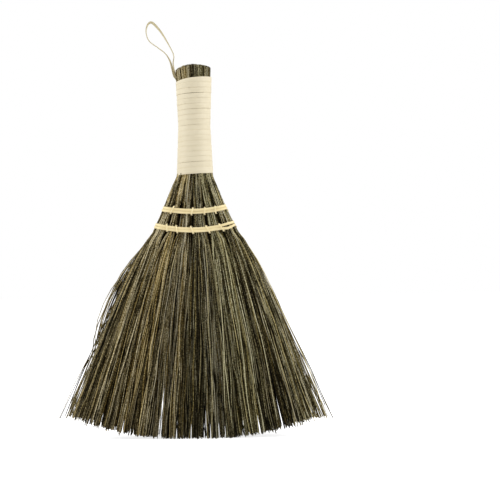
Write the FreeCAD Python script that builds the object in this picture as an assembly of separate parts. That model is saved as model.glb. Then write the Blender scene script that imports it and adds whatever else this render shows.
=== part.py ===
import FreeCAD, Part
import math
import os
from collections import namedtuple
from FreeCAD import Vector

# Hand broom: six bundles of plant fibre, bound round at the handle and fanned flat at the sweep.
# X runs across the fan, Y through its thickness with the front at -Y, Z up the handle.
# The origin is the middle of the flat foot at the lowest part of the sweep edge.

# Heights along the broom
broom_length = 260.0
stub_length = 8.0
wrap_length = 68.0
neck_length = 26.0
band_spacing = 13.0

# Round core of fibres inside the handle
stub_radius = 12.0
waist_radius = 10.3
base_radius = 11.8

# Flat fan of fibres
shoulder_share = 0.45
upper_left_width = 22.4
upper_right_width = 20.2
upper_half_depth = 5.6
lower_left_width = 30.5
lower_right_width = 29.5
lower_half_depth = 5.2
sweep_left_width = 100.5
sweep_right_width = 102.0
sweep_half_depth = 12.0
sweep_radius = 260.0
foot_trim = 0.8
left_flare_power = 0.78
right_flare_power = 0.95
depth_flare_power = 0.80
fan_station_shares = (0.0, 0.06, 0.16, 0.30, 0.46, 0.64, 0.82, 1.02)

# Bundles
bundle_width_shares = (0.155, 0.125, 0.185, 0.190, 0.170, 0.175)
handle_gap = 0.25
band_gap = 1.7
sweep_gap = 0.4
gap_power = 0.25
band_waist_share = 0.10
sweep_waist_share = 0.10
flutes = 3
flute_depth_share = 0.20
outer_turn = math.radians(40)
outer_turn_share = 0.5

# Slits between the locks of fibre at the sweep edge
slit_width = 1.4
slit_length = 24.0
slit_place_shares = (0.05, 0.10, 0.20, 0.245, 0.36, 0.43, 0.57, 0.61, 0.71, 0.78, 0.88, 0.94)
slit_length_shares = (0.5, 0.7, 0.6, 0.4, 1.0, 0.5, 0.4, 0.6, 0.4, 0.7, 0.9, 0.5)

# Cane strip wound round the handle
wrap_half_turns = 35
wrap_start_turn = 0.5
wrap_thickness = 0.8
wrap_strip_gap = 0.45
wrap_seat = 0.15

# Cane strip wound twice round the fan as a band
band_turns = 2
band_end_runs = 6
band_face_runs = 3
band_strip_width = 1.3
band_thickness = 0.6
band_strip_gap = 0.45
band_seat = 0.3
upper_sag = 2.5
lower_sag = 3.8

# Sewing strand that ties a band down between the bundles
strand_size = 0.7
strand_seat = 0.35
strand_bend = 1.2
strand_slant = 0.45
upper_seam_numbers = (1, 3, 4, 5)
lower_seam_numbers = (1, 2, 3, 4, 5)

# Hanging loop, one strip with both ends held under the wrap
loop_thickness = 0.8
loop_strip_width = 2.0
loop_leg_pitch = 1.25
loop_root_lift = 0.4
loop_seat = 0.3
loop_height = 39.5
loop_reach = 22.0
loop_reach_shares = (0.205, 0.265, 0.83, 0.998, 0.984, 0.789, 0.484, 0.17, 0.107, 0.14)
loop_height_shares = (0.172, 0.385, 0.598, 0.795, 0.99, 1.0, 0.78, 0.45, 0.30, 0.155)
loop_bend = 1.4
tail_length = 22.0
tail_gap = 0.6

wrap_top = broom_length - stub_length
wrap_base = wrap_top - wrap_length
upper_band_level = wrap_base - neck_length
lower_band_level = upper_band_level - band_spacing
band_strip_pitch = band_strip_width + band_strip_gap
band_height = band_turns * band_strip_pitch
fan_height = lower_band_level - band_height / 2
bundle_count = len(bundle_width_shares)
share_edges = [sum(bundle_width_shares[:k]) for k in range(bundle_count + 1)]

Station = namedtuple("Station", "level left right depth gap waist_share")


def handle_station(level, radius):
    return Station(level, radius, radius, radius, handle_gap, 0)


def flared(start, end, share, power):
    return start + (end - start) * share ** power


def fan_station(share):
    return Station(
        fan_height * (1 - share),
        flared(lower_left_width, sweep_left_width, share, left_flare_power),
        flared(lower_right_width, sweep_right_width, share, right_flare_power),
        flared(lower_half_depth, sweep_half_depth, share, depth_flare_power),
        flared(band_gap, sweep_gap, share, gap_power),
        flared(band_waist_share, sweep_waist_share, share, 1),
    )


def midway(level, above, below):
    """Station half way in size between two others."""
    return Station(level, *[(first + second) / 2 for first, second in zip(above[1:], below[1:])])


waist_level = wrap_base + wrap_length / 2
handle_foot = handle_station(wrap_base, base_radius)
band_top = Station(
    upper_band_level + upper_sag,
    upper_left_width,
    upper_right_width,
    upper_half_depth,
    band_gap,
    band_waist_share,
)
stations = [
    handle_station(broom_length, stub_radius),
    handle_station(waist_level, waist_radius),
    handle_foot,
    midway(wrap_base - neck_length * shoulder_share, handle_foot, band_top),
    band_top,
] + [fan_station(share) for share in fan_station_shares]


def size_at(level, name):
    """One size of the fibre mass at a level, between the two nearest stations."""
    for above, below in zip(stations, stations[1:]):
        if level >= below.level:
            break
    part = (above.level - level) / (above.level - below.level)
    return getattr(above, name) * (1 - part) + getattr(below, name) * part


def across(level, share):
    """X of a line that keeps one share of the fan's width."""
    left = size_at(level, "left")
    return share * (left + size_at(level, "right")) - left


def front_distance(station, x):
    """Distance along the front outline from its left extreme to X."""
    quarter = station.depth * math.pi / 2
    from_left = x + station.left
    from_right = station.right - x
    if from_left < station.depth:
        return station.depth * math.acos(1 - from_left / station.depth)
    straight = station.left + station.right - 2 * station.depth
    if from_right < station.depth:
        turned = station.depth * math.acos(1 - from_right / station.depth)
        return 2 * quarter + straight - turned
    return quarter + from_left - station.depth


def front_point(station, distance, inset):
    """Point on the front outline: a quarter round, a straight and a quarter round."""
    quarter = station.depth * math.pi / 2
    straight = station.left + station.right - 2 * station.depth
    radius = station.depth - inset
    if distance < quarter:
        angle = math.pi + distance / station.depth
        centre = station.depth - station.left
    elif distance <= quarter + straight:
        angle = 1.5 * math.pi
        centre = station.depth - station.left + distance - quarter
    else:
        angle = 1.5 * math.pi + (distance - quarter - straight) / station.depth
        centre = station.right - station.depth
    return Vector(centre + radius * math.cos(angle), radius * math.sin(angle), station.level)


def mirrored(point):
    return Vector(point.x, -point.y, point.z)


def bundle_section(station, index):
    """Closed outline of one bundle at a station, fluted at the front and the back."""
    width = station.left + station.right
    first, last = index == 0, index == bundle_count - 1
    left_x = width * share_edges[index] - station.left + station.gap / 2
    right_x = width * share_edges[index + 1] - station.left - station.gap / 2
    outer = station.depth * outer_turn
    if first:
        end = front_distance(station, right_x)
        start = min(outer_turn_share * end, outer)
    elif last:
        start = front_distance(station, left_x)
        whole = front_distance(station, station.right)
        end = max(whole - outer_turn_share * (whole - start), whole - outer)
    else:
        start, end = front_distance(station, left_x), front_distance(station, right_x)
    step = (end - start) / flutes
    inset = flute_depth_share * step

    def placed(count, depth):
        point = front_point(station, start + step * count, depth)
        side = 2 * count / flutes - 1
        if (side < 0 and first) or (side > 0 and last):
            return point
        point.y *= 1 - station.waist_share * side ** 2
        return point

    bases = [placed(count, inset) for count in range(flutes + 1)]
    crests = [placed(count + 0.5, 0) for count in range(flutes)]
    front = bases[:1]
    for crest, base in zip(crests, bases[1:]):
        front += [crest, base]
    outline = front + [mirrored(point) for point in reversed(front)]
    if first:
        outline.append(Vector(-station.left, 0, station.level))
    if last:
        outline.insert(len(front), Vector(station.right, 0, station.level))
    return Part.makePolygon(outline + outline[:1])


def prism(outline, half_width):
    """A polygon in X and Z, as thick as twice the half width about Y = 0."""
    points = [Vector(x, -half_width, z) for x, z in outline]
    face = Part.Face(Part.makePolygon(points + points[:1]))
    return face.extrude(Vector(0, 2 * half_width, 0))


def sweep_trim():
    """Space above the sweep edge: an arc across the fan with a flat foot."""
    depth = 2 * sweep_half_depth
    centre = Vector(0, -depth, sweep_radius - foot_trim)
    arc = Part.makeCylinder(sweep_radius, 2 * depth, centre, Vector(0, 1, 0))
    corner = Vector(-sweep_radius, -depth, 0)
    return arc.common(Part.makeBox(2 * sweep_radius, 2 * depth, 2 * sweep_radius, corner))


def sweep_level(x):
    return max(sweep_radius - foot_trim - math.sqrt(sweep_radius ** 2 - x ** 2), 0)


def slit(share, length):
    """Wedge that parts two locks of fibre at the sweep edge."""
    foot = stations[-1].level
    foot_x = across(foot, share)
    tip = sweep_level(across(0, share)) + length
    half = slit_width / 2 * (tip - foot) / length
    outline = [(foot_x - half, foot), (foot_x + half, foot), (across(tip, share), tip)]
    return prism(outline, 2 * sweep_half_depth)


def bundle(index, trim):
    shape = Part.makeLoft([bundle_section(station, index) for station in stations], True, True)
    shape = shape.common(trim)
    for place_share, length_share in zip(slit_place_shares, slit_length_shares):
        if share_edges[index] < place_share < share_edges[index + 1]:
            shape = shape.cut(slit(place_share, slit_length * length_share))
    return shape.Solids[0]


def arc_middle(start, corner, end):
    """Middle of the arc that leaves start and reaches end along their lines to the corner."""
    middle = (start + end) * 0.5
    cosine = (end - start).Length / 2 / (corner - start).Length
    return middle + (corner - middle) * (cosine / (1 + cosine))


def arc_edge(start, corner, end):
    return Part.Arc(start, arc_middle(start, corner, end), end).toShape()


def biarc(start, start_way, end, end_way):
    """Two tangent arcs between two points with given directions."""
    span = end - start
    ways = start_way + end_way
    turn = 2 * (1 - start_way.dot(end_way))
    reach = math.sqrt(span.dot(ways) ** 2 + turn * span.dot(span))
    handle = (reach - span.dot(ways)) / turn
    first, second = start + start_way * handle, end - end_way * handle
    middle = (first + second) * 0.5
    return [arc_edge(start, first, middle), arc_edge(middle, second, end)]


def wound_path(curve, places):
    """Wire of tangent arcs along a curve, through the given places on it."""
    nudge = (places[-1] - places[0]) / len(places) ** 3
    points = [curve(place) for place in places]
    ways = [(curve(place + nudge) - curve(place - nudge)).normalize() for place in places]
    edges = []
    for k in range(len(places) - 1):
        edges += biarc(points[k], ways[k], points[k + 1], ways[k + 1])
    return Part.Wire(edges)


def chamfered_path(points, trim):
    """Straight runs with a short slanting run across each corner."""
    places = points[:1]
    for before, corner, after in zip(points, points[1:], points[2:]):
        places.append(corner + (before - corner).normalize() * trim)
        places.append(corner + (after - corner).normalize() * trim)
    return Part.makePolygon(places + points[-1:])


def section(centre, thick, wide):
    """Rectangle about a point, from its half thickness and its half width."""
    corners = [centre + thick + wide, centre + thick - wide, centre - thick - wide, centre - thick + wide]
    return Part.makePolygon(corners + corners[:1])


def swept(path, way, width_way, width, thickness, curved):
    """A rectangular strip along a path, its width held to one direction or mitred at corners."""
    thick = way.cross(width_way).normalize() * (thickness / 2)
    wide = thick.cross(way).normalize() * (width / 2)
    shell = Part.BRepOffsetAPI.MakePipeShell(path)
    if curved:
        shell.setBiNormalMode(width_way)
    else:
        shell.setTransitionMode(1)
    shell.add(section(path.OrderedVertexes[0].Point, thick, wide), False, False)
    shell.build()
    shell.makeSolid()
    return shell.shape()


def start_way(path):
    edge = path.OrderedEdges[0]
    start = path.OrderedVertexes[0].Point
    place = edge.Curve.parameter(start)
    way = edge.tangentAt(place)
    return way if (edge.CenterOfMass - start).dot(way) > 0 else way * -1


def least_gap(path, turns, strip_width):
    """Least free space between one turn of a flat strip and the next, measured on points."""
    count = round(48 * turns)
    points = path.discretize(Number=count)
    apart = round(count / turns / 2)
    spans = [
        (points[j] - points[k]).Length
        for k in range(count)
        for j in range(k + apart, min(k + 3 * apart, count))
    ]
    return min(spans) - strip_width


wrap_turns = wrap_half_turns / 2
wrap_pitch = wrap_length / (wrap_turns + 1)
wrap_strip_width = wrap_pitch - wrap_strip_gap


def wrap_point(turn):
    level = wrap_base + wrap_pitch * (turn + 0.5)
    radius = size_at(level, "depth") + wrap_seat + wrap_thickness / 2
    angle = 2 * math.pi * (turn + wrap_start_turn)
    return Vector(radius * math.cos(angle), radius * math.sin(angle), level)


def handle_wrap():
    path = wound_path(wrap_point, [k / 2 for k in range(wrap_half_turns + 1)])
    print("handle_wrap least gap to itself", round(least_gap(path, wrap_turns, wrap_strip_width), 2))
    return swept(path, start_way(path), Vector(0, 0, 1), wrap_strip_width, wrap_thickness, True)


def band_curve(level, sag):
    """Line of a band strip round the fan, as a function of turns from the right end by the front."""

    def point(turn):
        whole = math.floor(turn)
        lift = band_strip_pitch * (0.75 - turn)
        end_level = level + sag + lift
        edges = (end_level - band_strip_width / 2, end_level + band_strip_width / 2)
        stand = band_seat + band_thickness / 2
        depth = max(size_at(edge, "depth") for edge in edges)
        left = max(size_at(edge, "left") for edge in edges) - depth
        right = max(size_at(edge, "right") for edge in edges) - depth
        radius = depth + stand
        part = turn - whole
        if part <= 0.125:
            angle = -part * 4 * math.pi
            x, y = right + radius * math.cos(angle), radius * math.sin(angle)
        elif part < 0.375:
            x, y = right - (left + right) * (part - 0.125) * 4, -radius
        elif part <= 0.625:
            angle = -math.pi / 2 - (part - 0.375) * 4 * math.pi
            x, y = radius * math.cos(angle) - left, radius * math.sin(angle)
        elif part < 0.875:
            x, y = (left + right) * (part - 0.625) * 4 - left, radius
        else:
            angle = math.pi / 2 - (part - 0.875) * 4 * math.pi
            x, y = right + radius * math.cos(angle), radius * math.sin(angle)
        reach = right + radius if x > 0 else left + radius
        return Vector(x, y, level + lift + sag * (x / reach) ** 2)

    return point


def band_places():
    """Turns at which a band strip bends: short runs round each end, longer ones across each face."""
    quarters = 4 * band_turns
    places = []
    for quarter in range(quarters):
        runs = band_face_runs if quarter % 2 else band_end_runs
        places += [(quarter - 0.5 + run / runs) / 4 for run in range(runs)]
    return places + [(quarters - 0.5) / 4]


def band(level, sag, name):
    """One ruled strip through upright sections along its line."""
    curve = band_curve(level, sag)
    places = band_places()
    nudge = 1 / len(places) ** 2
    rise = Vector(0, 0, band_strip_width / 2)
    sections = []
    for place in places:
        way = curve(place + nudge) - curve(place - nudge)
        out = Vector(-way.y, way.x, 0).normalize() * (band_thickness / 2)
        sections.append(section(curve(place), out, rise))
    path = Part.makePolygon([curve(place) for place in places])
    print(name, "least gap to itself", round(least_gap(path, band_turns, band_strip_width), 2))
    return Part.makeLoft(sections, True, True)


def sewing(level, sag, seams, slant, rising):
    """One strand over the band at each sewn gap in front, and on to the next gap behind."""
    reach = band_height / 2 + band_strip_pitch / 4 + strand_seat + strand_size / 2
    points = []
    for seam in seams:
        share = share_edges[seam]
        middle = level + sag * (across(level, share) / size_at(level, "left")) ** 2
        low, high = middle - reach, middle + reach
        depth = max(size_at(low, "depth"), size_at(high, "depth")) + band_seat + band_thickness
        depth += 2 * strand_seat + strand_size / 2
        entry, leave = (low, high) if rising else (high, low)
        entry_x, leave_x = across(entry, share), across(leave, share)
        if seam == seams[0]:
            points.append(Vector(entry_x, 0, entry))
        else:
            points.append(Vector(entry_x + slant, depth, entry))
        points.append(Vector(entry_x - slant, -depth, entry))
        points.append(Vector(leave_x + slant, -depth, leave))
        if seam == seams[-1]:
            points.append(Vector(leave_x, 0, leave))
        else:
            points.append(Vector(leave_x - slant, depth, leave))
    path = chamfered_path(points, strand_bend)
    return swept(path, points[1] - points[0], Vector(0, 0, 1), strand_size, strand_size, False)


wrap_slope = (stub_radius - waist_radius) / (broom_length - waist_level)
rim_radius = size_at(wrap_top, "depth")
root_level = wrap_top + loop_root_lift
outer_leg_x = loop_thickness / 2 - rim_radius
inner_leg_x = outer_leg_x + loop_leg_pitch


def hanging_loop():
    middle = (outer_leg_x + inner_leg_x) / 2
    points = [Vector(outer_leg_x, 0, root_level)]
    for reach_share, height_share in zip(loop_reach_shares, loop_height_shares):
        x = middle - loop_reach * reach_share
        points.append(Vector(x, 0, root_level + loop_height * height_share))
    points.append(Vector(inner_leg_x, 0, root_level))
    path = chamfered_path(points, loop_bend)
    return swept(path, points[1] - points[0], Vector(0, 1, 0), loop_strip_width, loop_thickness, False)


def leaning(x, level):
    """X of a line beside the handle that follows the taper of the core under the wrap."""
    return x + wrap_slope * (wrap_top - level)


def loop_tail(x):
    top, low = root_level - tail_gap, wrap_top - tail_length
    half = loop_thickness / 2
    outline = [
        (leaning(x - half, top), top),
        (leaning(x + half, top), top),
        (leaning(x + half, low), low),
        (leaning(x - half, low), low),
    ]
    return prism(outline, loop_strip_width / 2)


def tail_channel():
    """Place that the outer fibres give to the two ends of the loop."""
    top, low = broom_length + stub_length, wrap_top - tail_length - loop_seat
    floor = inner_leg_x + loop_thickness / 2 + loop_seat
    clear = -2 * stub_radius
    outline = [(leaning(floor, top), top), (leaning(floor, low), low), (clear, low), (clear, top)]
    return prism(outline, loop_strip_width / 2 + loop_seat)


trim_space = sweep_trim()
pieces = {}
for index in range(bundle_count):
    pieces["bristle_bundle_%d" % (index + 1)] = bundle(index, trim_space)
pieces["bristle_bundle_1"] = pieces["bristle_bundle_1"].cut(tail_channel()).Solids[0]
pieces["handle_wrap"] = handle_wrap()
pieces["upper_band"] = band(upper_band_level, upper_sag, "upper_band")
pieces["lower_band"] = band(lower_band_level, lower_sag, "lower_band")
pieces["upper_stitching"] = sewing(upper_band_level, upper_sag, upper_seam_numbers, strand_slant, True)
pieces["lower_stitching"] = sewing(lower_band_level, lower_sag, lower_seam_numbers, strand_slant, False)
pieces["hanging_loop"] = hanging_loop()
pieces["loop_tails"] = Part.Compound([loop_tail(outer_leg_x), loop_tail(inner_leg_x)])

os.makedirs("parts", exist_ok=True)
for name, shape in pieces.items():
    if not shape.isValid() or min(solid.Volume for solid in shape.Solids) <= 0:
        raise ValueError(name + " is not a sound solid")
    box = shape.BoundBox
    print(name, len(shape.Solids), round(shape.Volume, 1), [round(v, 1) for v in (box.XMin, box.XMax)],
          [round(v, 1) for v in (box.YMin, box.YMax)], [round(v, 1) for v in (box.ZMin, box.ZMax)])
    shape.exportStep("parts/" + name + ".step")
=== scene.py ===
import math

import bpy
import numpy as np
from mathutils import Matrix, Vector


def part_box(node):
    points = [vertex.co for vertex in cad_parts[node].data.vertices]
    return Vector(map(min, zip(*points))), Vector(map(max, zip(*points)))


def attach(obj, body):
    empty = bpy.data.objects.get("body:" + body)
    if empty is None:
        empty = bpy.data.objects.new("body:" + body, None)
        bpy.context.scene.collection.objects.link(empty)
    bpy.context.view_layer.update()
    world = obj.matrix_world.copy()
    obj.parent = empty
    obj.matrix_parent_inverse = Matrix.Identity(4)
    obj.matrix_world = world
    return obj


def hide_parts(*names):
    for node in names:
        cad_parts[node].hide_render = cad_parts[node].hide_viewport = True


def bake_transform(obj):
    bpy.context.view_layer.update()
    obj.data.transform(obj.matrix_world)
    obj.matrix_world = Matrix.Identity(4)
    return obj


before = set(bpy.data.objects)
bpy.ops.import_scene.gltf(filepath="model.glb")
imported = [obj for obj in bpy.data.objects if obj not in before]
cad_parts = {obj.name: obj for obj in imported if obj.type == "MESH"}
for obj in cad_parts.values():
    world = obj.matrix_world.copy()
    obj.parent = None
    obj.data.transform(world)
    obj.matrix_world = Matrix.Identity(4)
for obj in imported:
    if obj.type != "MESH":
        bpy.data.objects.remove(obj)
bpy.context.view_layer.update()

random = np.random.default_rng(seed=26)

# Viewpoint of the photograph
view_place = (0.03763, -1.0, 0.1304)
view_width = 0.3504
view_lean = math.radians(0.917)

# Heights of the broom, in metres up from the sweep edge
broom_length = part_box("bristle_bundle_4")[1].z
wrap_base = 0.184
wrap_length = 0.068
wrap_top = wrap_base + wrap_length
waist_level = wrap_base + wrap_length / 2
shoulder_drop = 0.0038
shoulder_level = wrap_base - shoulder_drop
upper_band_level = 0.158
lower_band_level = 0.145
upper_sag = 0.0025
lower_sag = 0.0038
band_strip_pitch = 0.00175
fan_height = lower_band_level - band_strip_pitch
band_top = upper_band_level + upper_sag

# Outline of the fibre mass, from the top of the fan to the cut ends and then at the sweep edge
outline_levels = (
    fan_height, band_top, shoulder_level, wrap_base, waist_level, wrap_top, broom_length,
)
outline_lefts = (0.0305, 0.0224, 0.0139, 0.0118, 0.0103, 0.0117, 0.0127)
outline_rights = (0.0295, 0.0211, 0.0132, 0.0118, 0.0103, 0.0117, 0.0120)
outline_depths = (0.0052, 0.0056, 0.0124, 0.0118, 0.0103, 0.0117, 0.0122)
sweep_left_width = 0.0890
sweep_right_width = 0.0805
sweep_half_depth = 0.012
sweep_radius = 0.260
foot_trim = 0.0008
left_flare_power = 0.80
right_flare_power = 0.775
depth_flare_power = 0.80

# Fibres
bundle_width_shares = (0.155, 0.125, 0.185, 0.190, 0.170, 0.175)
bundle_count = len(bundle_width_shares)
share_edges = [sum(bundle_width_shares[:k]) for k in range(bundle_count + 1)]
fibre_count = 4000
fibre_sides = 4
fibre_radius = 0.00026
fibre_radius_spread = 0.00006
tip_taper = 0.12
surface_power = 0.5
stub_levels = (0.251, 0.236, 0.212)
neck_levels = (0.190, 0.1825, 0.177, 0.171, 0.166, 0.161, 0.156, 0.150)
fan_shares = (0.04, 0.09, 0.15, 0.22, 0.30, 0.38, 0.47, 0.56, 0.65, 0.74, 0.83, 0.92, 1.0)
stub_drop_left = 0.0030
stub_drop_right = 0.0015
stub_jitter = 0.0009
tip_jitter = 0.0010
short_shares = (0.25, 0.15, 0.12, 0.12, 0.15, 0.35)
short_length = 0.016

# Grooves that the sewing pulls in between the bundles
band_gap = 0.0029
closed_share = 0.45
spill = 0.0002
gap_fade_above = 0.008
gap_fade_below = 0.011
band_waist_share = 0.30

# How the fibres stray from straight lines
wave_size = 0.0005
wave_lengths = (0.045, 0.110)
handle_looseness = 0.25
neck_looseness = 0.35
kink_size = 0.00013
bow_size = 0.0010
tip_sway = 0.0036
depth_sway_share = 0.4
stray_beyond = 0.0010

# Locks of fibres that lean together and share some of their tone, with painted shade at their edges
locks_per_bundle = 6
lock_place_jitter = 0.06
lock_pull = 0.05
lock_pull_power = 3
lock_sway = 0.0006
lock_sway_power = 1.5
lock_tone_share = 0.10
lock_tone_rise = 4.0
lock_edge_shade = 0.12
lock_edge_power = 4
lock_edge_mean = 1 / (lock_edge_power + 1)

# Slits and fine splits up from the sweep edge
slit_length = 0.054
slit_half_width = 0.0011
slit_reach = 0.006
slit_open_power = 0.7
slit_place_shares = (0.05, 0.10, 0.20, 0.245, 0.36, 0.43, 0.57, 0.61, 0.71, 0.78, 0.88, 0.94)
slit_length_shares = (0.5, 0.7, 0.6, 0.4, 1.0, 0.5, 0.4, 0.6, 0.4, 0.7, 0.9, 0.5)
split_count = 9
split_lengths = (0.012, 0.050)
split_half_width = 0.00045
crossing_share = 0.06

# Frayed edges of the fan: ranges are drawn from, powers bend a fibre or favour small values
fray_left, fray_right = 0.0070, 0.0100
fray_power = 3
fray_bends = (1.0, 2.2)
fray_spread = (0.6, 1.4)
loose_count = 26
loose_left, loose_right = 0.0095, 0.0130
loose_power = 1.4
loose_bends = (0.8, 1.8)
bowed_count = 16
bowed_reach = 0.0090
bowed_starts = (0.06, 0.14)
bowed_ends = (0.54, 0.66)
bowed_spread = (0.45, 1.0)
bowed_power = 0.8

# Cane strip round the handle; an open seam has a turn, a length in turns and an opening
wrap_half_turns = 35
wrap_turns = wrap_half_turns / 2
wrap_steps = 36
wrap_start_turn = 0.5
wrap_pitch = wrap_length / (wrap_turns + 1)
wrap_thickness = 0.0008
wrap_seat = 0.00015
wrap_seam = -0.00007
wrap_stray = 0.00004
wrap_stray_rates = (2.1, 9.7)
wrap_end_turn = 0.3
wrap_end_share = 0.85
wrap_tuck_power = 4
wrap_foot_drop = 0.0010
wrap_foot_turns = (-wrap_end_turn, 0, 0.5, 1)
wrap_foot_shares = (0, 1, 1, 0)
open_seams = (
    (1.25, 0.16, 0.00024), (3.25, 0.06, 0.00016), (14.25, 0.10, 0.00028), (17.0, 0.18, 0.0020),
)

# Cane bands; turns are counted from the right end of the fan, and the second starts behind
band_turns = 2
band_steps = 96
half_end_turn = 0.125
flat_turn = 0.5 - 2 * half_end_turn
second_turn_start = 0.75
band_thickness = 0.0006
band_seat = 0.0002
band_seam = -0.00012
band_parting = 0.0009
parting_rise_share = 1 / 3
parting_place = 0.0225
parting_length = 0.0035

# Sewing of the bands
strand_width = 0.0012
strand_thickness = 0.00045
strand_seat = 0.00015
strand_poke = 0.0003
strand_reach_share = 1.25
strand_shoulder_share = 0.86
strand_steps = 8
upper_slant = 0.0005
lower_slant = 0.0009
upper_seams = (1, 3, 4, 5)
lower_seams = (1, 2, 3, 4, 5)

# Hanging loop
loop_thickness = 0.0007
loop_strip_width = 0.0020
loop_leg_pitch = 0.00125
loop_root = 0.2524
loop_height = 0.0395
loop_reach = 0.0220
loop_steps = 12
loop_route = (
    (0.00, -0.50), (0.04, -0.10), (0.13, 0.02), (0.185, 0.14), (0.25, 0.28), (0.385, 0.41),
    (0.62, 0.52), (0.90, 0.64), (1.0, 0.79), (0.96, 0.92), (0.85, 0.975), (0.72, 0.93),
    (0.495, 0.775), (0.218, 0.501), (0.13, 0.37), (0.155, 0.25), (0.13, 0.13), (0.08, 0.02),
    (-0.01, -0.10), (-0.03, -0.50),
)
loop_twists = (
    0.0, 0.3, 0.8, 0.7, 0.5, 0.2, 0.0, 0.0, 0.1, 0.4,
    0.8, 1.0, 0.6, 0.1, 0.0, -0.2, -0.4, -0.8, -0.3, 0.0,
)

# Cross sections of the strips: shares of the half width and of the thickness
flat_section = (
    (-1.0, 0.6), (-0.98, 0.95), (-0.9, 0.985), (0.0, 1.0), (0.9, 0.985), (0.98, 0.95), (1.0, 0.6),
    (0.6, 0.0), (-0.6, 0.0),
)
crowned_section = (
    (-1.0, 0.2), (-0.92, 0.7), (-0.6, 0.93), (0.0, 1.0), (0.6, 0.93), (0.92, 0.7), (1.0, 0.2),
    (0.6, 0.0), (-0.6, 0.0),
)
lens_section = (
    (-1.0, 0.5), (-0.75, 0.85), (0.0, 1.0), (0.75, 0.85), (1.0, 0.5), (0.75, 0.15),
    (0.0, 0.0), (-0.75, 0.15),
)

# Bake maps: a column for each fibre, rows for a strip, and margins between them
column_margin = 0.1
column_end_margin = 0.04
cap_place = 0.018
cap_size = (0.4, 0.015)
row_start = 0.02
row_length = 0.94
row_margin = 0.05
strip_end_place = (0.98, 0.25)
strip_end_size = (0.012, 0.15)
strip_end_rise = 0.45
wrap_map_rows = 36
band_map_rows = 12
strand_map_rows = 6
loop_map_rows = 6

# Fibre colours as on a screen, by value, by place across, from top to tip and by depth, which
# paints shade on fibres deep in the mass
white = (255, 255, 255)
brown_stops = (
    (0.0, (8, 6, 0)), (0.3, (58, 51, 26)), (0.65, (158, 149, 118)), (1.0, (242, 236, 214)),
)
gold_stops = (
    (0.0, (10, 7, 0)), (0.3, (74, 60, 20)), (0.65, (168, 149, 94)), (1.0, (234, 221, 178)),
)
place_stops = (
    (0.0, (255, 250, 235)), (0.25, (250, 241, 218)), (0.5, (209, 209, 204)),
    (0.8, (240, 241, 217)), (1.0, (246, 243, 232)),
)
along_stops = (
    (0.0, (208, 205, 198)), (0.3, (232, 229, 222)), (0.4, white),
    (0.5, (236, 234, 229)), (1.0, (230, 228, 224)),
)
# Painted shade: colour multiplied darker the further a fibre lies from the surface of the mass
depth_painted_shade_stops = ((0.5, (66, 60, 46)), (0.75, (140, 134, 118)), (0.93, white))
streak_spread = 900.0
streak_rate = 280.0
streak_detail = 3.0
tone_weight = 1.25
streak_weight = 1.8
value_shift = 1.04
golden_from = 0.75
golden_share = 0.85
fibre_roughness = 0.42
fibre_roughness_spread = 0.25
fibre_shine = 0.05
fibre_bump_scale = 2600.0
fibre_bump_detail = 2.0
fibre_bump_strength = 0.25
bump_distance = 0.0002

# Cane colours as on a screen: dark, pale, edge; then the edge colour's share and the roughness
cane_looks = {
    "wrap_cane": ((212, 199, 166), (222, 211, 183), (200, 184, 148), 0.7, 0.45),
    "band_cane": ((224, 200, 144), (244, 226, 174), (206, 176, 114), 0.9, 0.42),
    "stitch_cane": ((226, 204, 148), (246, 230, 180), (206, 174, 110), 1.2, 0.42),
    "loop_cane": ((166, 146, 106), (202, 191, 153), (156, 134, 94), 1.0, 0.40),
}
cane_stops = (0.28, 0.5, 0.75)
cane_lift = 8
grain_rates = (60.0, 5.0)
grain_detail = 5.0
grain_weight = 0.6
stretch_rate = 24.0
stretch_place = (7.0, 3.0)
stretch_detail = 2.0
stretch_weight = 0.4
rim_power = 9.0
cane_roughness_spread = 0.2
cane_bump_strength = 0.2

# Floor, white surroundings and soft studio light; a lamp has a turn, a rise and a power
white_light = (1.0, 1.0, 1.0, 1.0)
floor_size = 6.0
floor_colour = (236, 236, 236)
floor_roughness = 0.9
floor_glow = 0.80
fill_strength = 0.48
lamp_size = 0.7
lamp_distance = 1.1
lamps = {"left": (-75, 30, 6.8), "right": (75, 30, 7.4), "top": (0, 60, 1.0)}


def flared(start, end, share, power):
    return start + (end - start) * np.clip(share, 0, None) ** power


def outline(level):
    """Left width, right width and half depth of the fibre mass at a level."""
    share = (fan_height - level) / fan_height
    in_fan = level < fan_height
    sizes = []
    for values, end, power in (
        (outline_lefts, sweep_left_width, left_flare_power),
        (outline_rights, sweep_right_width, right_flare_power),
        (outline_depths, sweep_half_depth, depth_flare_power),
    ):
        above = np.interp(level, outline_levels, values)
        sizes.append(np.where(in_fan, flared(values[0], end, share, power), above))
    return sizes


def across(level, share):
    """X at a share of the whole width from the left, at a level."""
    left, right, depth = outline(np.asarray(level))
    return share * (left + right) - left


def sweep_level(x):
    """Height of the sweep edge, an arc with its foot trimmed flat."""
    return np.clip(sweep_radius - foot_trim - np.sqrt(sweep_radius ** 2 - x ** 2), 0, None)


def band_nearness(level):
    """1 between the two bands, fading away above and below them."""
    above = np.clip(level - band_top, 0, None) / gap_fade_above
    below = np.clip(fan_height - level, 0, None) / gap_fade_below
    return np.exp(-above - below)


def sweep_slits():
    """Where the sweep edge is parted, how far up and how wide: wide slits and a few fine splits."""
    wide = [
        (place_share, slit_length * length_share, slit_half_width * length_share)
        for place_share, length_share in zip(slit_place_shares, slit_length_shares)
    ]
    return wide + [
        (place_share, random.uniform(*split_lengths), split_half_width)
        for place_share in random.random(split_count)
    ]


def even_pairs(count):
    """Pairs from -1 to 1 that fill a square evenly, in a fixed order."""
    plastic = 1.3247179572447460
    steps = np.arange(1, count + 1)
    return [2 * ((0.5 + steps / plastic ** power) % 1) - 1 for power in (1, 2)]


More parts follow.
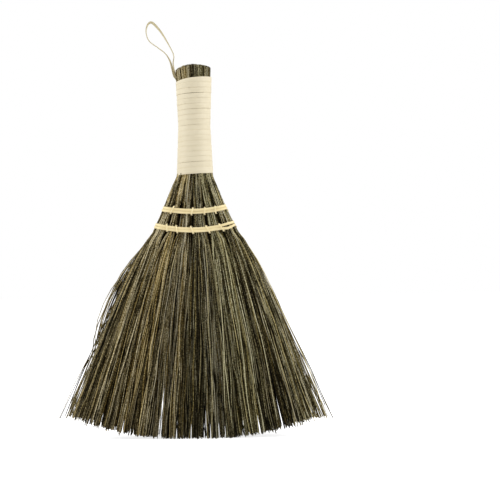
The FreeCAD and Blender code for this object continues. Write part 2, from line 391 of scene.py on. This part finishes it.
def fibre_ends(index, width_share):
    """Levels of each fibre's cut top and of its tip; some tips are short of the sweep edge."""
    each = width_share.shape
    stub_x = across(broom_length, width_share) / outline_lefts[-1]
    drop = np.where(stub_x < 0, stub_drop_left, stub_drop_right) * stub_x ** 2
    top = broom_length - drop - np.abs(random.normal(0, stub_jitter, each))
    tip = sweep_level(across(0.0, width_share)) + np.abs(random.normal(0, tip_jitter, each))
    short = random.random(each) < short_shares[index]
    tip += np.where(short, short_length * random.random(each), 0)
    return top, np.clip(tip, 0, None)


def fibre_levels(top, tip):
    """Levels down each fibre: its top, levels that all fibres share, then shares of the fan."""
    shared = np.array(stub_levels + neck_levels)
    shared = np.broadcast_to(shared, (len(top), len(shared)))
    in_fan = fan_height + (tip - fan_height) * np.array((0.0,) + fan_shares)
    return np.concatenate([top, shared, in_fan], axis=1)


def fibre_lines(index, side, depth_share, levels):
    """X and Y of fibres that keep their place in one bundle, at each of their levels."""
    left, right, depth = outline(levels)
    width = left + right
    near = band_nearness(levels)
    outside = np.clip((np.abs(depth_share) - closed_share) / (1 - closed_share), 0, 1)
    inset = band_gap * near * outside / 2 - spill * (np.abs(depth_share) < closed_share)
    is_first, is_last = index == 0, index == bundle_count - 1
    low = width * share_edges[index] - left + inset * (not is_first) + fibre_radius
    high = width * share_edges[index + 1] - left - inset * (not is_last) - fibre_radius
    x = (low + high) / 2 + side * (high - low) / 2
    from_edge = np.clip(np.minimum(x + left, right - x) / depth, 0, 1)
    half_depth = depth * np.sqrt(1 - (1 - from_edge) ** 2) - fibre_radius
    waisted = np.where(is_first & (side < 0) | is_last & (side > 0), 0, side)
    y = depth_share * half_depth * (1 - band_waist_share * near * waisted ** 2)
    return x, y


def wave(levels, length, looseness):
    """Sideways waves along fibres, each from a random start."""
    return looseness * np.sin(2 * math.pi * (levels / length + random.random(length.shape)))


def bundle_paths(index):
    """Points down each fibre of a bundle.

    With them come its radius, place from top to tip, nearness to the surface, which sets the
    painted shade on deeper fibres, and tone there.
    """
    count = round(fibre_count * bundle_width_shares[index])
    side, depth_share = [np.array(pair)[:, None] for pair in even_pairs(count)]
    depth_share = np.sign(depth_share) * np.abs(depth_share) ** surface_power
    width_share = share_edges[index] + bundle_width_shares[index] * (side + 1) / 2
    each = side.shape

    top, tip = fibre_ends(index, width_share)
    levels = fibre_levels(top, tip)
    fan = np.clip((fan_height - levels) / fan_height, 0, 1)
    below_wrap = levels < wrap_base
    left, right, depth = outline(levels)

    x, y = fibre_lines(index, side, depth_share, levels)
    shortest, longest = wave_lengths
    length = shortest + (longest - shortest) * random.random(each)
    looseness = wave_size * (handle_looseness + neck_looseness * below_wrap + fan)
    x += wave(levels, length, looseness)
    y += wave(levels, length, looseness) * np.abs(depth_share)

    lock_places = np.linspace(-1, 1, 2 * locks_per_bundle + 1)[1::2]
    lock_places = lock_places + random.normal(0, lock_place_jitter, locks_per_bundle)
    lock = np.argmin(np.abs(side - lock_places), axis=1)
    to_lock = lock_places[lock][:, None] - side
    half_width = (left + right) * bundle_width_shares[index] / 2
    x += to_lock * half_width * lock_pull * fan ** lock_pull_power
    x += random.normal(0, lock_sway, locks_per_bundle)[lock][:, None] * fan ** lock_sway_power

    x += random.normal(0, tip_sway, each) * fan
    x += random.normal(0, bow_size, each) * np.sin(math.pi * fan)
    y += random.normal(0, tip_sway, each) * fan * depth_sway_share
    kink_x, kink_y = random.normal(0, kink_size, (2,) + x.shape) * below_wrap
    x = np.clip(x + kink_x, -left - stray_beyond, right + stray_beyond)
    y += kink_y
    x = slit_apart(x, y, levels)
    x += frayed(index, side, fan)

    radius = random.normal(fibre_radius, fibre_radius_spread, each)
    radius = np.clip(radius, fibre_radius / 2, None) * (1 - tip_taper * fan ** 2)
    from_side = np.minimum(x + left, right - x) / depth
    # Nearness to the surface sets the painted shade inside the fibre mass; the cut tops are left
    # unshaded
    nearness = np.clip(np.maximum(np.abs(depth_share), 1 - from_side), 0, 1)
    nearness[:, 0] = 1
    tone = fibre_tones(lock, np.abs(to_lock), fan)
    return np.stack([x, y, levels], axis=2), radius, (top - levels) / (top - tip), nearness, tone


def slit_apart(x, y, levels):
    """X of fibres once the slits are open, apart from the few fibres that cross them."""
    crossing = random.random((len(x), 1)) < crossing_share
    for place_share, length, half_width in slits:
        slope = (across(0.0, place_share) - view_place[0]) / -view_place[1]
        opening = np.clip((sweep_level(x) + length - levels) / length, 0, 1) ** slit_open_power
        offset = x - across(levels, place_share) - y * slope
        x = x + np.where((opening > 0) & ~crossing, parted(offset, half_width * opening), 0)
    return x


def parted(offset, half_width):
    """How far fibres move aside from a slit's middle, each to the side where its tip lies."""
    way = np.sign(offset[:, -1:])
    near = np.clip(1 - np.abs(offset) / slit_reach, 0, 1)
    return way * np.maximum(way * offset + near * half_width, half_width) - offset


def frayed(index, side, fan):
    """How far the fibres at the fan's two edges stray outwards.

    A few stray further than the rest, and some at the left edge stand out in a bow.
    """
    if index == 0:
        way, reach, loose_reach = -1, fray_left, loose_left
    elif index == bundle_count - 1:
        way, reach, loose_reach = 1, fray_right, loose_right
    else:
        return 0
    outward = np.clip(way * side, 0, 1) ** fray_power
    bend = random.uniform(*fray_bends, side.shape)
    stray = reach * outward * random.uniform(*fray_spread, side.shape) * fan ** bend
    outermost = np.argsort(-way * side[:, 0])
    for fibre in outermost[:2 * loose_count:2]:
        length = loose_reach * random.random() ** loose_power
        stray[fibre] += length * fan[fibre] ** random.uniform(*loose_bends)
    if index == 0:
        for fibre in outermost[1:2 * bowed_count:2]:
            start, end = random.uniform(*bowed_starts), random.uniform(*bowed_ends)
            place = np.clip((fan[fibre] - start) / (end - start), 0, 1)
            height = bowed_reach * random.uniform(*bowed_spread)
            stray[fibre] += height * np.sin(math.pi * place) ** bowed_power
    return way * stray


def fibre_tones(lock, from_lock, fan):
    """Tone of each fibre from 0 to 1, in the fan partly its lock's and darker at a lock's edges as
    painted shade between locks.
    """
    lock_tone = lock_tone_share * (random.random(locks_per_bundle)[lock][:, None] - 0.5)
    from_middle = np.clip(from_lock * locks_per_bundle, 0, 1)
    # Painted shade: darker tone at the edges of each lock, where the locks meet
    lock_tone -= lock_edge_shade * (from_middle ** lock_edge_power - lock_edge_mean)
    tone = (1 - lock_tone_share) * random.random(from_lock.shape) + lock_tone_share / 2
    return np.clip(tone + lock_tone * np.clip(lock_tone_rise * fan, 0, 1), 0, 1)


def mesh_object(name, points, faces, attributes, bake_map, material):
    """A smooth mesh with a value of each attribute at every point, in the scene."""
    mesh = bpy.data.meshes.new(name)
    mesh.from_pydata(points.reshape(-1, 3).tolist(), [], faces)
    for title, values in attributes.items():
        layer = mesh.attributes.new(title, "FLOAT", "POINT")
        layer.data.foreach_set("value", np.ascontiguousarray(values, np.float32).ravel())
    layer = mesh.uv_layers.new(name="OFBake")
    layer.uv.foreach_set("vector", np.ascontiguousarray(bake_map, np.float32).ravel())
    mesh.polygons.foreach_set("use_smooth", np.ones(len(faces), bool))
    mesh.materials.append(material)
    piece = bpy.data.objects.new(name, mesh)
    bpy.context.scene.collection.objects.link(piece)
    return piece


def unit(vectors):
    return vectors / np.linalg.norm(vectors, axis=-1, keepdims=True)


def circle(sides):
    """Cosine and sine of evenly spaced turns."""
    turn = np.arange(sides) * 2 * math.pi / sides
    return np.stack([np.cos(turn), np.sin(turn)], axis=-1)


def fibre_bundle(index, material):
    """One bundle of separate round fibres, each with a column of its own in the bake map."""
    lines, radius, along, nearness, tone = bundle_paths(index)
    count, rings = radius.shape
    way = unit(np.gradient(lines, axis=1))
    wide = unit(np.array([1.0, 0.0, 0.0]) - way * way[..., :1])
    deep = np.cross(way, wide)
    ring = circle(fibre_sides)
    spread = ring[:, :1] * wide[:, :, None, :] + ring[:, 1:] * deep[:, :, None, :]
    points = lines[:, :, None, :] + radius[:, :, None, None] * spread

    numbers = np.arange(count * rings * fibre_sides).reshape(count, rings, fibre_sides)
    following = np.roll(numbers, -1, axis=2)
    corners = (numbers[:, :-1], numbers[:, 1:], following[:, 1:], following[:, :-1])
    quads = np.stack(corners, axis=-1)
    caps = np.stack([numbers[:, 0], numbers[:, -1, ::-1]], axis=1)
    faces = quads.reshape(-1, 4).tolist() + caps.reshape(-1, fibre_sides).tolist()

    hue = random.random((count, 1))
    place = share_edges[index] + bundle_width_shares[index] * random.random((count, 1))
    attributes = {"tone": tone, "hue": hue, "nearness": nearness, "place": place, "along": along}
    for title, values in attributes.items():
        attributes[title] = np.broadcast_to(values[..., None], numbers.shape)
    name = "fibre_bundle_%d" % (index + 1)
    return mesh_object(name, points, faces, attributes, fibre_map(count, rings), material)


def fibre_map(count, rings):
    """Bake map of fibres side by side, each with its two cut ends above and below it."""
    column = np.arange(count)
    beside = column_margin + (1 - 2 * column_margin) * np.arange(fibre_sides + 1) / fibre_sides
    u = (column[:, None, None] + beside) / count
    v = column_end_margin + (1 - 2 * column_end_margin) * np.arange(rings) / (rings - 1)
    grid = np.stack(np.broadcast_arrays(u, v[None, :, None]), axis=-1)
    corners = (grid[:, :-1, :-1], grid[:, 1:, :-1], grid[:, 1:, 1:], grid[:, :-1, 1:])
    quads = np.stack(corners, axis=3)
    middle_u = np.repeat((column + 0.5) / count, 2)
    middle_v = np.tile([cap_place, 1 - cap_place], count)
    disc = circle(fibre_sides) * cap_size / (count, 1)
    caps = np.stack([middle_u, middle_v], axis=-1)[:, None, :] + disc
    return np.concatenate([quads.reshape(-1, 2), caps.reshape(-1, 2)])


def strip_object(name, line, out, width, thickness, section, map_rows, material):
    """Closed strip of one cross section along a line; out points away from what it lies on."""
    way = unit(np.gradient(line, axis=0))
    wide = unit(np.cross(way, out))
    out = np.cross(wide, way)
    shares = np.array(section)
    points = (
        line[:, None]
        + wide[:, None] * (shares[:, :1] * np.reshape(width, (-1, 1, 1)) / 2)
        + out[:, None] * ((shares[:, 1:] - 0.5) * thickness)
    )
    count, sides = points.shape[:2]
    numbers = np.arange(count * sides).reshape(count, sides)
    following = np.roll(numbers, -1, axis=1)
    quads = np.stack([numbers[:-1], numbers[1:], following[1:], following[:-1]], axis=-1)
    faces = quads.reshape(-1, 4).tolist() + [numbers[0].tolist(), numbers[-1, ::-1].tolist()]
    steps = np.linalg.norm(np.diff(line, axis=0), axis=1)
    along = np.concatenate([[0], np.cumsum(steps)])
    attributes = {"along": np.repeat(along, sides), "beside": np.tile(shares[:, 0], count)}
    bake_map = strip_map(count, sides, map_rows)
    return mesh_object(name, points, faces, attributes, bake_map, material)


def strip_map(count, sides, rows):
    """Bake map of a strip cut into rows, one above the other, with its two ends beside them."""
    step = np.arange(count - 1)
    per_row = math.ceil((count - 1) / rows)
    row, place = step // per_row, step % per_row
    u = row_start + row_length * np.stack([place, place + 1], axis=1) / per_row
    rise = row_margin + (1 - 2 * row_margin) * np.arange(sides + 1) / sides
    v = (row[:, None] + rise) / rows
    low, high = np.broadcast_to(u[:, :1], v.shape), np.broadcast_to(u[:, 1:], v.shape)
    near, far = [np.stack([side, v], axis=-1) for side in (low, high)]
    quads = np.stack([near[:, :-1], far[:, :-1], far[:, 1:], near[:, 1:]], axis=2)
    disc = np.array(strip_end_place) + circle(sides) * strip_end_size
    ends = np.stack([disc, disc + (0, strip_end_rise)])
    return np.concatenate([quads.reshape(-1, 2), ends.reshape(-1, 2)])


def through(points, steps):
    """Smooth line through every point, with extra points between them."""
    points = np.asarray(points, float)
    first, last = 2 * points[:1] - points[1:2], 2 * points[-1:] - points[-2:-1]
    padded = np.concatenate([first, points, last])
    share = np.linspace(0, 1, steps, endpoint=False)[:, None]
    runs = []
    for before, start, end, after in zip(padded, padded[1:], padded[2:], padded[3:]):
        bend = 2 * before - 5 * start + 4 * end - after
        turn = 3 * (start - end) + after - before
        runs.append(start + 0.5 * share * (end - before + share * (bend + share * turn)))
    return np.concatenate(runs + [points[-1:]])


def handle_wrap(material):
    """One strip round and round the handle, its two ends narrowing away at the top and the foot."""
    steps = wrap_half_turns * wrap_steps
    turns = np.linspace(-wrap_end_turn, wrap_turns + wrap_end_turn, steps + 1)
    slow, fast = wrap_stray_rates
    stray = wrap_stray * np.sin(turns * slow) + wrap_stray * np.sin(turns * fast + 1)
    level = wrap_base + wrap_pitch * (turns + 0.5) + stray / 2
    past_ends = (-turns, turns - wrap_turns)
    foot_end, head_end = [np.clip(past / wrap_end_turn, 0, 1) for past in past_ends]
    end_tuck = wrap_thickness / 2 * (foot_end + head_end) ** wrap_tuck_power
    radius = outline(level)[2] + wrap_seat + wrap_thickness / 2 + stray - end_tuck
    angle = 2 * math.pi * (turns + wrap_start_turn)
    out = np.stack([np.cos(angle), np.sin(angle), np.zeros_like(angle)], axis=1)

    narrowing = wrap_pitch * wrap_end_share
    width = wrap_pitch - wrap_seam + stray - narrowing * (foot_end + head_end)
    level = level + narrowing * (foot_end - head_end) / 2
    lowered = wrap_foot_drop * np.interp(turns, wrap_foot_turns, wrap_foot_shares)
    width = width + lowered
    level = level - lowered / 2
    for place, length, opening in open_seams:
        narrowed = opening * np.exp(-((turns - place) / length) ** 2)
        width = width - narrowed
        level = level - narrowed / 2
    line = out * radius[:, None]
    line[:, 2] = level
    return strip_object(
        "handle_wrap_strip", line, out, width, wrap_thickness, flat_section, wrap_map_rows, material
    )


def band_line(level, sag):
    """Line of a band strip from the fan's right end by the front, and the way out from the fan."""
    turns = np.linspace(0, band_turns, band_turns * band_steps + 1)
    lift = band_strip_pitch * (second_turn_start - turns)
    left, right, depth = outline(level + sag + lift)
    radius = depth + band_seat + band_thickness / 2
    left, right = left - depth, right - depth

    part = turns % 1
    front_end, back_start, right_start = 0.5 - half_end_turn, 0.5 + half_end_turn, 1 - half_end_turn
    at_right = (part <= half_end_turn) | (part >= right_start)
    at_left = (part >= front_end) & (part <= back_start)
    front = (part > half_end_turn) & (part < front_end)
    quarter = math.pi / 2
    bend = quarter / half_end_turn
    angle = np.where(part >= right_start, part - 1, part) * -bend
    angle = np.where(at_left, -quarter - (part - front_end) * bend, angle)
    angle = np.where(at_right | at_left, angle, np.where(front, -quarter, quarter))
    run = np.where(front, part - half_end_turn, right_start - part) / flat_turn
    middle = np.where(at_right, right, np.where(at_left, -left, right - (left + right) * run))

    x = middle + radius * np.cos(angle)
    reach = np.where(x > 0, right, left) + radius
    sagged = level + lift + sag * (x / reach) ** 2
    line = np.stack([x, radius * np.sin(angle), sagged], axis=1)
    out = np.stack([np.cos(angle), np.sin(angle), np.zeros_like(angle)], axis=1)
    return line, out


def band(name, level, sag, parting, material):
    """A strip wound twice round the fan, its turns parted near the right end in front."""
    line, out = band_line(level, sag)
    second = np.linspace(0, band_turns, len(line)) > second_turn_start
    in_front = line[:, 1] < 0
    drop = parting * np.exp(-((line[:, 0] - parting_place) / parting_length) ** 2) * in_front
    line[:, 2] += np.where(second, -drop, drop * parting_rise_share)
    width = band_strip_pitch - band_seam
    return strip_object(
        name, line, out, width, band_thickness, crowned_section, band_map_rows, material
    )


def stitching(name, level, sag, seams, slant, rising, material):
    """One strand sewn over the band at each seam in front, and on to the next seam behind."""
    reach = strand_reach_share * band_strip_pitch + strand_poke
    up, front, back = np.array([0, 0, 1.0]), np.array([0, -1.0, 0]), np.array([0, 1.0, 0])
    turned = -up if rising else up
    left = outline(np.asarray(level))[0]
    points, outs = [], []
    for seam in seams:
        share = share_edges[seam]
        middle = level + sag * (across(level, share) / left) ** 2
        ends = (middle - reach, middle + reach) if rising else (middle + reach, middle - reach)
        depth = max(outline(np.asarray(end))[2] for end in ends) + band_seat + band_thickness
        depth += strand_seat + strand_thickness / 2
        shoulder = depth * strand_shoulder_share
        entry, leave = ends
        entry_x, leave_x = [across(end, share) for end in ends]
        if seam == seams[0]:
            points.append((entry_x, 0, entry))
            outs.append(turned)
        else:
            points += [(entry_x + slant, depth, entry), (entry_x, 0, entry)]
            outs += [back + turned, turned]
        points += [
            (entry_x - slant, -shoulder, entry),
            ((entry_x + leave_x) / 2, -depth, (entry + leave) / 2),
            (leave_x + slant, -shoulder, leave),
            (leave_x, 0, leave),
        ]
        outs += [front + turned, front, front - turned, -turned]
        if seam != seams[-1]:
            points.append((leave_x - slant, depth, leave))
            outs.append(back - turned)
    line, out = [through(rows, strand_steps) for rows in (points, outs)]
    return strip_object(
        name, line, out, strand_width, strand_thickness, lens_section, strand_map_rows, material
    )


def hanging_loop(material):
    """One strip that leaves the wrap, turns over at the top and comes back beside itself."""
    outer_x = loop_thickness / 2 - np.interp(wrap_top, outline_levels, outline_depths)
    middle = outer_x + loop_leg_pitch / 2
    points = [(middle - loop_reach * x, 0, loop_root + loop_height * z) for x, z in loop_route]
    line = through(points, loop_steps)
    way = unit(np.gradient(line, axis=0))
    untwisted = np.stack([way[:, 2], np.zeros(len(way)), -way[:, 0]], axis=1)
    twist = through(np.array(loop_twists)[:, None], loop_steps)
    out = untwisted * np.cos(twist) + np.array([0, -1.0, 0]) * np.sin(twist)
    piece = strip_object(
        "loop_strip", line, out, loop_strip_width, loop_thickness, lens_section,
        loop_map_rows, material,
    )
    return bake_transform(piece)


def linear(red, green, blue):
    """Colour as written on a screen, from 0 to 255, in the shader's linear values."""
    shift, power = 0.055, 2.4
    return tuple(((v / 255 + shift) / (1 + shift)) ** power for v in (red, green, blue)) + (1.0,)


class Nodes:
    """Short ways to add nodes to one material."""

    def __init__(self, name):
        self.material = bpy.data.materials.new(name)
        self.material.use_nodes = True
        self.tree = self.material.node_tree
        self.shader = self.tree.nodes["Principled BSDF"]

    def link(self, value, socket):
        """Set a socket to a number or a colour, or feed it from another socket."""
        if isinstance(value, (int, float, tuple)):
            socket.default_value = value
        else:
            self.tree.links.new(value, socket)

    def attribute(self, name):
        node = self.tree.nodes.new("ShaderNodeAttribute")
        node.attribute_name = name
        return node.outputs["Fac"]

    def math(self, operation, first, second=0.0):
        node = self.tree.nodes.new("ShaderNodeMath")
        node.operation = operation
        self.link(first, node.inputs[0])
        self.link(second, node.inputs[1])
        return node.outputs[0]

    def times(self, first, second):
        return self.math("MULTIPLY", first, second)

    def plus(self, first, second):
        return self.math("ADD", first, second)

    def vector(self, *values):
        node = self.tree.nodes.new("ShaderNodeCombineXYZ")
        for value, socket in zip(values, node.inputs):
            self.link(value, socket)
        return node.outputs[0]

    def noise(self, vector, scale, detail):
        node = self.tree.nodes.new("ShaderNodeTexNoise")
        self.link(vector, node.inputs["Vector"])
        self.link(scale, node.inputs["Scale"])
        self.link(detail, node.inputs["Detail"])
        return node.outputs["Fac"]

    def position(self):
        return self.tree.nodes.new("ShaderNodeTexCoord").outputs["Object"]

    def ramp(self, value, stops):
        node = self.tree.nodes.new("ShaderNodeValToRGB")
        while len(node.color_ramp.elements) < len(stops):
            node.color_ramp.elements.new(0.5)
        for element, (place, colour) in zip(node.color_ramp.elements, stops):
            element.position = place
            element.color = linear(*colour)
        self.link(value, node.inputs["Fac"])
        return node.outputs["Color"]

    def mix(self, share, first, second, blend="MIX"):
        node = self.tree.nodes.new("ShaderNodeMix")
        node.data_type = "RGBA"
        node.blend_type = blend
        share_socket, first_colour, second_colour, mixed_colour = 0, 6, 7, 2
        self.link(share, node.inputs[share_socket])
        self.link(first, node.inputs[first_colour])
        self.link(second, node.inputs[second_colour])
        return node.outputs[mixed_colour]

    def bump(self, height, strength):
        node = self.tree.nodes.new("ShaderNodeBump")
        self.link(strength, node.inputs["Strength"])
        self.link(bump_distance, node.inputs["Distance"])
        self.link(height, node.inputs["Height"])
        self.link(node.outputs["Normal"], self.shader.inputs["Normal"])

    def shade(self, **values):
        """Set or feed the shader's own sockets, named with _ for a space."""
        for name, value in values.items():
            self.link(value, self.shader.inputs[name.replace("_", " ")])


def bristle_material():
    """Dark brown and golden plant fibre, each one with its own tone and streaks along it, and
    painted shade on fibres deep in the mass.
    """
    n = Nodes("bristle")
    tone, hue, along = [n.attribute(name) for name in ("tone", "hue", "along")]
    streak_place = n.vector(n.times(hue, streak_spread), n.times(along, streak_rate), 0.0)
    streak = n.noise(streak_place, 1.0, streak_detail)
    value = n.plus(n.times(tone, tone_weight), n.times(streak, streak_weight))
    value = n.math("SUBTRACT", value, value_shift)
    golden = n.times(n.math("GREATER_THAN", hue, golden_from), golden_share)
    colour = n.mix(golden, n.ramp(value, brown_stops), n.ramp(value, gold_stops))
    # The last ramp is painted shade, darkening the colour of fibres deep in the mass
    for source, stops in (
        (n.attribute("place"), place_stops),
        (along, along_stops),
        (n.attribute("nearness"), depth_painted_shade_stops),
    ):
        colour = n.mix(1.0, colour, n.ramp(source, stops), "MULTIPLY")
    roughness = n.plus(n.times(streak, fibre_roughness_spread), fibre_roughness)
    n.shade(Base_Color=colour, Roughness=roughness, Specular_IOR_Level=fibre_shine)
    n.bump(n.noise(n.position(), fibre_bump_scale, fibre_bump_detail), fibre_bump_strength)
    return n.material


def cane_material(name, dark, pale, edge, edge_share, roughness):
    """Split cane: fine grain along the strip, paler and darker stretches and browner edges."""
    n = Nodes(name)
    along, beside = n.attribute("along"), n.attribute("beside")
    along_rate, beside_rate = grain_rates
    grain_place = n.vector(n.times(along, along_rate), n.times(beside, beside_rate), 0.0)
    grain = n.noise(grain_place, 1.0, grain_detail)
    stretch = n.noise(n.vector(n.times(along, stretch_rate), *stretch_place), 1.0, stretch_detail)
    value = n.plus(n.times(grain, grain_weight), n.times(stretch, stretch_weight))
    palest = tuple(min(v + cane_lift, 255) for v in pale)
    colour = n.ramp(value, list(zip(cane_stops, (dark, pale, palest))))
    rim = n.math("POWER", n.math("ABSOLUTE", beside), rim_power)
    colour = n.mix(n.times(rim, n.times(stretch, edge_share)), colour, linear(*edge))
    n.shade(Base_Color=colour, Roughness=n.plus(n.times(grain, cane_roughness_spread), roughness))
    n.bump(grain, cane_bump_strength)
    return n.material


def camera_sees(tree):
    """1 where the camera, a mirror or glass looks at a surface, 0 for the light that it sends."""
    path = tree.nodes.new("ShaderNodeLightPath")
    total = path.outputs["Is Camera Ray"]
    for name in ("Is Glossy Ray", "Is Transmission Ray"):
        node = tree.nodes.new("ShaderNodeMath")
        node.operation = "MAXIMUM"
        tree.links.new(total, node.inputs[0])
        tree.links.new(path.outputs[name], node.inputs[1])
        total = node.outputs[0]
    return total


def floor():
    """A pale floor that glows only for the camera, and so looks white like the surroundings."""
    bpy.ops.mesh.primitive_grid_add(x_subdivisions=2, y_subdivisions=2, size=floor_size)
    ground = bpy.context.object
    ground.name = "floor"
    n = Nodes("pale_floor")
    glow = n.times(camera_sees(n.tree), floor_glow)
    n.shade(Base_Color=linear(*floor_colour), Roughness=floor_roughness, Specular_IOR_Level=0.0)
    n.shade(Emission_Color=white_light, Emission_Strength=glow)
    ground.data.materials.append(n.material)


def surroundings():
    """White all round for the camera, and a weaker white light for the broom."""
    world = bpy.data.worlds.new("white_room")
    bpy.context.scene.world = world
    world.use_nodes = True
    tree = world.node_tree
    light = tree.nodes["Background"]
    seen = tree.nodes.new("ShaderNodeBackground")
    for node, strength in ((light, fill_strength), (seen, 1.0)):
        node.inputs["Color"].default_value = white_light
        node.inputs["Strength"].default_value = strength
    choice = tree.nodes.new("ShaderNodeMixShader")
    sources = (camera_sees(tree), light.outputs[0], seen.outputs[0])
    for source, socket in zip(sources, choice.inputs):
        tree.links.new(source, socket)
    tree.links.new(choice.outputs[0], tree.nodes["World Output"].inputs["Surface"])


def studio_lamps():
    """Soft lamps round the broom, all aimed at its middle."""
    target = bpy.data.objects.new("lamp_target", None)
    target.location = (0, 0, broom_length / 2)
    bpy.context.scene.collection.objects.link(target)
    for name, (turn, rise, power) in lamps.items():
        lamp = bpy.data.lights.new(name + "_lamp", "AREA")
        lamp.size = lamp_size
        lamp.energy = power
        piece = bpy.data.objects.new(name + "_lamp", lamp)
        turn, rise = math.radians(turn), math.radians(rise)
        way = (math.sin(turn) * math.cos(rise), -math.cos(turn) * math.cos(rise), math.sin(rise))
        piece.location = [place + lamp_distance * step for place, step in zip(target.location, way)]
        aim = piece.constraints.new("TRACK_TO")
        aim.target = target
        aim.track_axis = "TRACK_NEGATIVE_Z"
        aim.up_axis = "UP_Y"
        bpy.context.scene.collection.objects.link(piece)


def photo_camera():
    """Level camera straight in front, turned a little so that the broom leans as photographed."""
    optics = bpy.data.cameras.new("photo_camera")
    optics.angle = 2 * math.atan(view_width / 2 / -view_place[1])
    camera = bpy.data.objects.new("photo_camera", optics)
    camera.location = view_place
    camera.rotation_euler = (math.pi / 2, view_lean, 0)
    bpy.context.scene.collection.objects.link(camera)
    bpy.context.scene.camera = camera


def dress(piece, slot, *nodes):
    """Put a piece on the broom in place of its CAD nodes; its material slot is not used."""
    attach(piece, "broom")
    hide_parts(*nodes)


slits = sweep_slits()
bristle = bristle_material()
canes = {name: cane_material(name, *look) for name, look in cane_looks.items()}
band_cane, stitch_cane = canes["band_cane"], canes["stitch_cane"]

for index in range(bundle_count):
    dress(fibre_bundle(index, bristle), "bristle", "bristle_bundle_%d" % (index + 1))
dress(handle_wrap(canes["wrap_cane"]), "wrap_cane", "handle_wrap")

upper_band = band("upper_band_strip", upper_band_level, upper_sag, 0.0, band_cane)
dress(upper_band, "band_cane", "upper_band")
lower_band = band("lower_band_strip", lower_band_level, lower_sag, band_parting, band_cane)
dress(lower_band, "band_cane", "lower_band")

upper_sewing = stitching(
    "upper_sewing", upper_band_level, upper_sag, upper_seams, upper_slant, True, stitch_cane
)
dress(upper_sewing, "stitch_cane", "upper_stitching")
lower_sewing = stitching(
    "lower_sewing", lower_band_level, lower_sag, lower_seams, lower_slant, False, stitch_cane
)
dress(lower_sewing, "stitch_cane", "lower_stitching")

loop = hanging_loop(canes["loop_cane"])
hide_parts("hanging_loop", "loop_tails")

floor()
surroundings()
studio_lamps()
photo_camera()
bpy.context.scene.view_settings.view_transform = "Standard"
